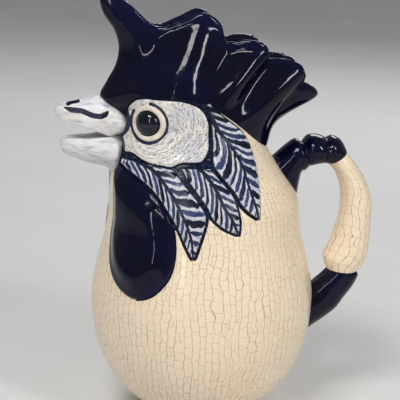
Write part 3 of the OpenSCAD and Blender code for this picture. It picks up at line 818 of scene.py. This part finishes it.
def comb_cage(a):
    """Cross-sections of the near wall at angles a, from outer root over the rim to inner root."""
    rad = np.radians(a)
    turn_sin, turn_cos = np.sin(rad), np.cos(rad)
    turn = a + FAN_SKEW * turn_sin + FAN_TWIST * np.sin(2 * rad)
    seat = points_of(180 + turn, seat_z(turn) - COMB_SINK)
    root, root_in = skin(seat, COMB_ROOT_OUT), skin(seat, -WALL)
    rim_x, rim_z = rim_point(a)
    plan = COMB_HALF_W * np.clip(turn_sin, 0, 1) ** PLAN_POWER
    lobe = (1 + np.cos(LOBE_COUNT * rad)) / 2
    dent = LOBE_SWELL * (1 - lobe) * turn_sin
    edge = points_of(rim_x - RIM_ROUND / 2 * turn_cos, dent - plan, rim_z - RIM_ROUND)
    inner_x = blend(COMB_L / 2 - COMB_FRONT, rim_x, MOUTH_L_SHARE)
    inner = points_of(inner_x, -plan * MOUTH_W_SHARE, rim_top(inner_x) - RIM_ROUND)
    at_horn = np.clip(turn_cos, 0, 1) ** TIP_POWER
    at_stern = np.clip(-turn_cos, 0, 1) ** TIP_POWER
    section = []
    for share, nose, waist, stern in OUTER_ROWS:
        p = blend(root, edge, share)
        p[:, 0] += at_horn * (WAIST_IN * waist - NOSE_OUT * nose) - at_stern * STERN_IN * stern
        p[:, 1] -= LOBE_SWELL * (lobe - 0.5) * turn_sin * math.sin(math.pi * share)
        section.append(p)
    for share, keep in RIM_ROWS:
        p = blend(edge, inner, share)
        p[:, 2] = np.minimum(rim_z, rim_top(p[:, 0])) + RIM_ROUND * (keep - 1)
        section.append(p)
    section += [blend(root_in, inner, share) for share in INNER_ROWS]
    return np.stack(section, 1)


def make_comb():
    near = comb_cage(np.linspace(0, 180, COMB_SECTIONS))
    far = near[1:-1][::-1] * [1, -1, 1]
    rings = refine(np.concatenate([near, far]), COMB_AROUND, closed=True)
    rings = refine(rings.transpose(1, 0, 2), COMB_STEPS).transpose(1, 0, 2)
    way = normals_of(rings, True, False)
    uneven = ripple(rings, *COMB_WAVES) * grown(rings[..., 2], *COMB_WAVES_Z)
    rings = rings + uneven[..., None] * way
    thin = HIGH_THIN * grown(rings[..., 2], *COMB_THIN_Z)
    thin = thin + RIM_THIN * hump(np.linspace(0, 1, COMB_STEPS), *RIM_PLACE)
    thin = thin + ripple(rings, *COMB_THIN_WAVES)
    dress(loft("comb", rings, {"thin": thin}, loop=True), "navy", "comb")


# Beak
def stroke_ink(side_view, stroke, width):
    """How far each point lies inside a painted stroke that tapers at both ends."""
    line = refine(stroke, STROKE_POINTS)
    place = np.arange(STROKE_POINTS)
    from_end = np.minimum(place, place[::-1])
    widths = width * np.sqrt(np.clip(from_end / STROKE_TAPER, 0.1, 1))
    gap = norm(side_view[..., None, :] - line, axis=-1)
    return (widths - gap).max(-1)


def mandible_ring(station, h, reach, sign):
    """A section of the beak: an arc over its ridge, and back through its hollow."""
    along, ridge_share, lip_share, w_share = station
    ridge, lip = MOUTH_Z + sign * h * ridge_share, MOUTH_Z + sign * h * lip_share
    turn = math.radians(blend(ROOT_TURN, LIP_TURN, smooth(along / LIP_TURN_SHARE)))
    arc = np.linspace(-turn, turn, BEAK_OUTER_POINTS)
    inner_arc = np.radians(np.linspace(90, -90, BEAK_INNER_POINTS))
    w = BEAK_HALF_W * w_share
    w_in = max(w * HOLLOW_W_SHARE, w - BEAK_WALL)
    w_in = min(w_in, HOLLOW_MOST_W_SHARE * w * math.sin(turn))
    z_in = blend(lip, ridge, HOLLOW_H_SHARE)
    climb_share = (np.cos(arc) - math.cos(turn)) / (1 - math.cos(turn))
    y = np.concatenate([w * np.sin(arc), w_in * np.sin(inner_arc)])
    z = np.concatenate([blend(lip, ridge, climb_share), blend(lip, z_in, np.cos(inner_arc))])
    x = blend(middle(z) - skin_reach(y, z) + BEAK_SEAT_GAP, -reach, along)
    return points_of(x, y, z)


def nostril_ink(rings):
    """The painted strokes on the flanks of the upper mandible."""
    side_view = rings[..., ::2]
    ink = np.maximum(stroke_ink(side_view, NOSTRIL, NOSTRIL_LINE),
                     stroke_ink(side_view, NOSTRIL_FRONT, NOSTRIL_FRONT_LINE))
    flank = BEAK_OUTSIDE & (np.abs(rings[..., 1]) > RIDGE_BARE_HALF_W)
    return np.where(flank, ink, NO_INK)


def make_mandible(name):
    h, reach, sign, stations = MANDIBLES[name]
    rings = np.array([mandible_ring(station, h, reach, sign)
                      for station in refine(stations, BEAK_STATIONS)])
    ink = nostril_ink(rings) if name == "upper_beak" else np.full(rings.shape[:2], NO_INK)
    rings[..., 1] -= np.sign(rings[..., 1]) * NOSTRIL_CARVE * np.clip(ink + NOSTRIL_EDGE, 0, 1)
    rings = rings + (ripple(rings, *BEAK_WAVES) * BEAK_OUTSIDE)[..., None] * [0, 1, 1]
    dress(loft(name, rings, painted(ink, NOSTRIL_TONE)), "beak", name)


# Face patch: the ring painted on it round the eye, with its gap and its heavy part as middle,
# half width and span in degrees
RING_LINE_R, RING_LINE, RING_CARVE, RING_GAP_DEPTH = 13.3, 1.1, 0.45, 3
RING_GAP, RING_HEAVY, RING_HEAVIER, RING_LOWER = (115, 30, 10), (-80, 40, 60), 0.5, 0.3
# Its other lines, its height, and the swell round the eye as (radius, width)
ROOT_LINE_SPREAD, FACE_EDGE_LINE, FACE_TONE = 3, 0.5, 0.2
FACE_LIFT, FACE_ROUND, FACE_SWELL, SWELL_R = 1.6, 2.2, 0.54, (19, 5)
FACE_COLUMNS, FACE_ROWS = 150, 110
# Waves, and how millimetres from the eye, degrees round it and 1 count in them
SCRATCHES, SCRATCH_SCALES, SCRATCH_ROUND = (0.14, 3.2, 11), (1, 0.05, 0), 3
STRAYING, SWIRL_SCALES = (2.5, 7, 17), (1.15, 0.07, 3)
# First place and span over which the swirl goes astray and the stipple sets in
STRAYING_R, STIPPLE_ANGLES = (16, 14), (240, 18)


def ring_ink(from_eye, clock):
    """The painted ring round the eye: open at the top, thicker and lower at the bottom."""
    heavy = within(clock, *RING_HEAVY)
    off_line = np.abs(from_eye - RING_LINE_R - RING_LOWER * heavy)
    gap = RING_GAP_DEPTH * within(clock, *RING_GAP)
    return RING_LINE + RING_HEAVIER * heavy - off_line - gap


def make_face(side):
    chart, distance = relief_grid(*face_edges(), FACE_COLUMNS, FACE_ROWS)
    points = skin(chart)
    from_eye = norm(points - skin(EYE), axis=-1)
    off_eye = chart - EYE
    clock = np.degrees(np.arctan2(off_eye[..., 1], off_eye[..., 0] * skin_rate(*EYE)))
    round_eye = points_of(from_eye, clock, 1)
    ring_line = ring_ink(from_eye, clock)
    root, root_width = BRUSH_LINES[0]
    root_line = root_width + ROOT_LINE_SPREAD - nearest(points, skin_line(root))
    ink = np.maximum.reduce([FACE_EDGE_LINE - distance, ring_line, root_line])
    scratch = ripple(round_eye * SCRATCH_SCALES, *SCRATCHES)
    lift = (FACE_LIFT + FACE_SWELL * hump(from_eye, *SWELL_R)) * rounded(distance, FACE_ROUND)
    lift += scratch * rounded(distance, SCRATCH_ROUND)
    lift -= RING_CARVE * np.clip(ring_line + CARVE_EDGE, 0, 1)
    astray = grown(from_eye, *STRAYING_R) * ripple(points, *STRAYING)
    swirl = round_eye * SWIRL_SCALES + points_of(astray, astray, 0)
    stipple = grown(chart[..., 0], *STIPPLE_ANGLES)
    paint = {**painted(ink, FACE_TONE), "swirl": swirl, "stipple": stipple}
    piece = relief(f"{side}_face_patch", chart, lift, paint, side)
    dress(piece, "face", f"{side}_face")


# Eye: the ring's width and height, the pupil's dome, and the ink on the ring's inner edge
EYE_R, RING_W, RING_H, RING_BASE, EYE_DOME, DOME_BASE = 8.3, 4, 1.7, 0.2, 5.2, 0.3
EYE_BASE, EYE_SINK, EYE_AROUND, RING_ARC_POINTS, DOME_POINTS = 1.2, 1.4, 96, 15, 22
RING_INK_W, RING_INK_H, RING_NO_INK = 0.65, 1.3, -1.55


def eye_rings(profile):
    """Rings of a profile turned about the eye's axis and bent to the skin."""
    turn = np.radians(once_round(EYE_AROUND))[:, None]
    r, out = np.array(profile).T
    chart = EYE + points_of(r * np.cos(turn) / skin_rate(*EYE), r * np.sin(turn))
    return skin(chart) + (EYE_BASE + out)[:, None] * skin_normal(chart)


def make_eye(side):
    mid, half = EYE_R + RING_W / 2, RING_W / 2
    profile = [(mid + half * math.cos(a), RING_BASE + RING_H * math.sin(a))
               for a in np.radians(np.linspace(0, 180, RING_ARC_POINTS))]
    profile += [(EYE_R, -EYE_SINK), (EYE_R + RING_W, -EYE_SINK)]
    ink = [EYE_R + RING_INK_W - r if out < RING_INK_H else RING_NO_INK for r, out in profile]
    ink = np.tile(ink, (EYE_AROUND, 1))
    piece = loft(f"{side}_eye_rim", eye_rings(profile), painted(ink), loop=True, side=side)
    dress(piece, "ring", f"{side}_eye_ring", slot="face_glaze")
    dome = [(EYE_R * math.cos(a), DOME_BASE + EYE_DOME * math.sin(a))
            for a in np.radians(np.linspace(0, 89, DOME_POINTS))]
    rings = eye_rings([(EYE_R, -EYE_SINK)] + dome).transpose(1, 0, 2)
    dress(loft(f"{side}_pupil", rings, side=side), "eye", f"{side}_eye")


# Feathers: the barbs' pitch along the spine, how far they sweep down it and straighten out on
# each side, and the order of their tones and of their width shares
BARB_PITCH = {"front": 6.4, "middle": 5.8, "rear": 6.6}
FRONT_SWEEP, REAR_SWEEP = (2, 0.055), (1.05, 0.02)
STEM_ROOT_W, STEM_TIP_W, STEM_TONE, EDGE_LINE, BARE_EDGE_LINE = 1.8, 0.75, 0.15, 0.8, 0.5
FEATHER_LIFT, FEATHER_ROUND, BARB_CARVE, RELIEF_LEAST = 2.2, 4, 0.35, 0.15
FEATHER_ROWS, FEATHER_COLUMNS, SPINE_POINTS = 190, 90, 240
# How far a barb takes to widen from the spine and thin toward the edge, and its shares there
BARB_START, BARB_START_SHARE, BARB_END, BARB_END_SHARE = 3, 0.15, 3.5, 0.35
# How fast a barb's ink and its carving grow inward; the rear barbs' shift in pitches and tones
BARB_INK, BARB_CARVE_RISE, REAR_SHIFT, REAR_TONE_SHIFT = 0.6, 1.6, 0.5, 3
# How much each direction counts in the glaze's grain, and waves
GRAIN_SCALES, BARB_WANDER, BARB_WAVES = (0.9, 0.12, 1.7), (1.2, 13, 21), (0.2, 4.5, 23)
BARB_TONES = [0.5, 0.05, 0.8, 0, 0.35, 0.65, 0, 0.9]
BARB_WIDTH_SHARES = [0.38, 0.26, 0.34, 0.42, 0.23, 0.33, 0.4, 0.28]


def off_spine(which, chart):
    """Millimetres down a feather's axis and to the rear of its spine, and the spine's length."""
    spine = np.array(SPINES[which], float)
    flatten = np.array([skin_rate(*spine.mean(0)), 1])
    spine = refine(spine * flatten, SPINE_POINTS)
    flat = chart * flatten - spine[0]
    spine = spine - spine[0]
    length = norm(spine[-1])
    down = spine[-1] / length
    to_tail = np.array([-down[1], down[0]])
    along = flat @ down
    return along, flat @ to_tail - np.interp(along, spine @ down, spine @ to_tail), length


def feather_paint(which, chart, distance):
    """Paint of a feather: an outline, a tapering spine and barbs that sweep from it."""
    along, offset, length = off_spine(which, chart)
    to_rear, across = offset > 0, np.abs(offset)
    sweep = np.where(to_rear, REAR_SWEEP[0], FRONT_SWEEP[0])
    bend = np.where(to_rear, REAR_SWEEP[1], FRONT_SWEEP[1])
    wander = ripple(points_of(along, offset, 0), *BARB_WANDER)
    origin = along - sweep * across + bend * across ** 2 + wander
    phase = origin / BARB_PITCH[which] + REAR_SHIFT * to_rear
    number = np.floor(phase).astype(int)
    spread = np.array(BARB_WIDTH_SHARES)[number % len(BARB_WIDTH_SHARES)]
    at_edge = smooth((BARB_END - distance) / BARB_END)
    at_spine = smooth(across / BARB_START + BARB_START_SHARE)
    taper = at_spine * blend(1, BARB_END_SHARE, at_edge)
    taper = taper + ripple(points_of(along, offset, 5), *BARB_WAVES)
    barb = spread * taper - np.abs(phase - number - 0.5)
    barb = barb * BARB_PITCH[which] * BARB_INK
    stem = blend(STEM_ROOT_W, STEM_TIP_W, np.clip(along / length, 0, 1)) - across
    outline = np.where(to_rear & (which == "rear"), BARE_EDGE_LINE, EDGE_LINE) - distance
    shade = np.array(BARB_TONES)[(number + REAR_TONE_SHIFT * to_rear) % len(BARB_TONES)]
    tone = np.where(barb >= np.maximum(stem, outline), shade, STEM_TONE)
    grain = points_of(origin, across, number) * GRAIN_SCALES
    return {"ink": np.maximum.reduce([barb, stem, outline]), "tone": tone, "grain": grain}


def make_feather(which, side):
    left, right = feather_edges(which)
    edges = left + FEATHER_INSET, right - FEATHER_INSET
    chart, distance = relief_grid(*edges, FEATHER_ROWS, FEATHER_COLUMNS)
    paint = feather_paint(which, chart, distance)
    lift = FEATHER_LIFT * rounded(distance, FEATHER_ROUND)
    lift = np.maximum(lift - BARB_CARVE * smooth(paint["ink"] * BARB_CARVE_RISE + 0.5), RELIEF_LEAST)
    piece = relief(f"{side}_{which}_plume", chart, lift, paint, side)
    dress(piece, "feather", f"{side}_{which}_feather")


# Wattle: a sheet that swells away from its edges, more so over a span of its width to the rear
WATTLE_LIFT, WATTLE_ROUND, WATTLE_SWELL, SWELL_REACH = 1.6, 2.4, 5.2, 15
REAR_SWELL = (-1 / 6, 2 / 3)
WATTLE_ROWS, WATTLE_COLUMNS, WATTLE_WAVES, WAVES_REACH = 150, 80, (0.2, 28, 13), 8
# How thin the glaze is all over and how much more at the edge, and how far that reaches
WATTLE_THIN, WATTLE_EDGE_THIN, WATTLE_THIN_REACH = 0.1, 0.5, 2.5


def make_wattle(side):
    chart, distance = relief_grid(*wattle_edges(), WATTLE_ROWS, WATTLE_COLUMNS)
    to_rear = grown(np.linspace(0, 1, WATTLE_COLUMNS), *REAR_SWELL)
    lift = WATTLE_LIFT * rounded(distance, WATTLE_ROUND)
    lift = lift + WATTLE_SWELL * smooth(distance / SWELL_REACH) * to_rear
    lift += ripple(skin(chart), *WATTLE_WAVES) * smooth(distance / WAVES_REACH)
    thin = WATTLE_EDGE_THIN * np.exp(-distance / WATTLE_THIN_REACH) + WATTLE_THIN
    piece = relief(f"{side}_wattle_drop", chart, lift, {"thin": thin}, side)
    dress(piece, "navy", f"{side}_wattle")


# Handle: each rib is (inner reach, inner height, outer reach, outer height, width), as shares
HANDLE_REACH, HANDLE_LOW_Z, HANDLE_H, HANDLE_HALF_W = 42, 54, 145, 14
CREST_RIBS = [
    (-0.245, 0.806, -0.5, 0.95, 0.95), (-0.165, 0.825, -0.35, 0.978, 0.92),
    (-0.105, 0.842, -0.245, 0.965, 0.85), (-0.048, 0.847, -0.15, 0.993, 0.95),
    (0.02, 0.852, -0.045, 1, 0.98), (0.09, 0.855, 0.075, 0.995, 0.94),
    (0.135, 0.856, 0.17, 0.984, 0.85), (0.165, 0.857, 0.285, 0.993, 0.9),
    (0.19, 0.856, 0.42, 0.972, 0.88), (0.212, 0.855, 0.51, 0.93, 0.8),
    (0.224, 0.855, 0.531, 0.915, 0.74)]
GRIP_RIBS = [
    (0.224, 0.855, 0.531, 0.915, 0.76), (0.319, 0.825, 0.671, 0.863, 0.82),
    (0.398, 0.783, 0.843, 0.789, 0.88), (0.443, 0.737, 0.955, 0.718, 0.93),
    (0.464, 0.684, 1, 0.652, 0.96), (0.457, 0.613, 1, 0.575, 0.98),
    (0.383, 0.517, 1, 0.503, 1), (0.288, 0.443, 0.976, 0.398, 1.02),
    (0.217, 0.401, 0.912, 0.347, 0.98), (0.221, 0.37, 0.852, 0.325, 0.9),
    (0.281, 0.326, 0.793, 0.312, 0.8)]
TAIL_RIBS = [
    (0.281, 0.326, 0.793, 0.312, 0.76), (0.262, 0.316, 0.833, 0.289, 0.8),
    (0.17, 0.29, 0.757, 0.24, 0.82), (0.08, 0.268, 0.6, 0.176, 0.84),
    (0.02, 0.25, 0.412, 0.107, 0.88)]
# Seats: middle height, half height and width as shares, and which way round the ring runs
UPPER_SEAT, LOWER_SEAT, SEAT_OVERLAP = (0.795, 0.095, 1, 1), (0.12, 0.115, 0.95, -1), 0.3
# Grooves between the crest's rolls: place and width as shares of its length, and depth
CREST_GROOVES = [(3 / 11, 0.012, 0.7), (7 / 11, 0.012, 0.7)]
# How thin the glaze is on the handle, and how much more so in a groove
HANDLE_THIN, GROOVE_THIN = 0.1, 0.6
RIB_SIDES, CREST_ROWS, GRIP_ROWS, TAIL_ROWS = 64, 150, 160, 90


def rib_ring(rib):
    """An ellipse round a rib of the handle."""
    inner_reach, inner_rise, outer_reach, outer_rise, width = rib
    a = np.radians(once_round(RIB_SIDES))
    out = (1 + np.cos(a)) / 2
    x = BELLY_R + HANDLE_REACH * blend(inner_reach, outer_reach, out)
    z = HANDLE_LOW_Z + HANDLE_H * blend(inner_rise, outer_rise, out)
    return points_of(x, HANDLE_HALF_W * width * np.sin(a), z)


def seat_ring(seat):
    """The handle's end on the vessel's skin."""
    place, half, width, way = seat
    a = np.radians(once_round(RIB_SIDES))
    z = HANDLE_LOW_Z + HANDLE_H * (place + way * half * np.cos(a))
    y = HANDLE_HALF_W * width * np.sin(a)
    return points_of(middle(z) + skin_reach(y, z) - SEAT_OVERLAP, y, z)


def handle_part(name, rings, steps, node, glaze, grooves=()):
    """A stretch of the handle through the rings, with grooves cut round it."""
    rings = refine(rings, steps)
    way = normals_of(rings, False, True)
    way *= np.sign((way * (rings - rings.mean(1, keepdims=True))).sum())
    along = np.linspace(0, 1, steps)[:, None]
    thin = np.full(rings.shape[:2], HANDLE_THIN)
    for place, width, depth in grooves:
        dip = hump(along, place, width)
        rings = rings - depth * dip[..., None] * way
        thin = thin + GROOVE_THIN * dip
    strides = norm(np.diff(rings.mean(1), axis=0), axis=1)
    length = np.concatenate([[0], np.cumsum(strides)])
    paint = crackle_paint(once_round(RIB_SIDES), length[:, None], HANDLE_COLUMNS)
    dress(loft(name, rings, {**paint, "thin": thin}), glaze, node)


def make_handle():
    crest = [seat_ring(UPPER_SEAT)] + [rib_ring(rib) for rib in CREST_RIBS]
    grip = [rib_ring(rib) for rib in GRIP_RIBS]
    tail = [rib_ring(rib) for rib in TAIL_RIBS] + [seat_ring(LOWER_SEAT)]
    handle_part("handle_crown", crest, CREST_ROWS, "handle_crest", "navy", CREST_GROOVES)
    handle_part("handle_hold", grip, GRIP_ROWS, "handle_grip", "cream")
    handle_part("handle_root", tail, TAIL_ROWS, "handle_tail", "navy")


# Stage, light and camera
FLOOR_HALF, FLOOR_DEEP, FLOOR_PALE = 6, (0.7, 0.7, 0.69, 1), (0.74, 0.74, 0.73, 1)
SKY, SKY_STRENGTH = (0.8, 0.81, 0.83, 1), 0.3
LAMP_TARGET = (0, 0, 0.16)
# Each lamp's place, size and power in watts
LAMPS = {
    "key": ((-0.7, -1.1, 1.9), (0.8, 0.5), 21.5),
    "fill": ((0.9, -1.2, 1), (0.18, 0.7), 9),
    "window": ((-0.75, -1.4, 0.75), (0.05, 0.9), 2.8),
    "rear": ((0.5, 1.3, 1.1), (0.8, 0.5), 8),
}


def floor_paper(where):
    """Pale matt paper."""
    colour = mix(mottle(where, 3, 0.3, 0.7), FLOOR_DEEP, FLOOR_PALE)
    return colour, 0.75, bump(noise(where, 400), 0.05, 0.2)


def make_floor():
    mesh = bpy.data.meshes.new("floor")
    corners = [(x * FLOOR_HALF, y * FLOOR_HALF, 0) for x, y in ((-1, -1), (1, -1), (1, 1), (-1, 1))]
    mesh.from_pydata(corners, [], [(0, 1, 2, 3)])
    mesh.materials.append(new_material(floor_paper))
    floor = new_object("floor", mesh)


def make_light():
    world = bpy.data.worlds.new("studio")
    scene.world = world
    world.use_nodes = True
    back = world.node_tree.nodes["Background"]
    fill(back.inputs["Color"], SKY)
    fill(back.inputs["Strength"], SKY_STRENGTH)
    for name, (place, size, power) in LAMPS.items():
        data = bpy.data.lights.new(name, "AREA")
        data.shape = "RECTANGLE"
        data.size, data.size_y = size
        data.energy = power
        lamp = new_object(name, data)
        lamp.location = place
        toward = Vector(LAMP_TARGET) - lamp.location
        lamp.rotation_euler = toward.to_track_quat("-Z", "Y").to_euler()


# Camera, fitted to the photo: metres and degrees, and its lens in millimetres
CAMERA_DISTANCE, CAMERA_RISE, CAMERA_YAW, CAMERA_ROLL = 0.98, 14.15, 8, -1.5
CAMERA_TARGET_Z, CAMERA_LENS, CAMERA_SHIFT = 0.1519, 126, -0.01


def make_camera():
    data = bpy.data.cameras.new("camera")
    data.lens, data.shift_x = CAMERA_LENS, CAMERA_SHIFT
    turned = Matrix.Translation((0, 0, CAMERA_TARGET_Z))
    for degrees, axis in ((-CAMERA_YAW, "Z"), (90 - CAMERA_RISE, "X"), (-CAMERA_ROLL, "Z")):
        turned = turned @ Matrix.Rotation(math.radians(degrees), 4, axis)
    camera = new_object("camera", data)
    camera.matrix_world = turned @ Matrix.Translation((0, 0, CAMERA_DISTANCE))
    scene.camera = camera


make_body()
make_head()
make_foot()
make_comb()
for name in MANDIBLES:
    make_mandible(name)
for side in SIDES:
    make_face(side)
    make_eye(side)
    make_wattle(side)
    for which in FEATHERS:
        make_feather(which, side)
make_handle()

make_floor()
make_light()
make_camera()
scene.view_settings.view_transform = "Standard"
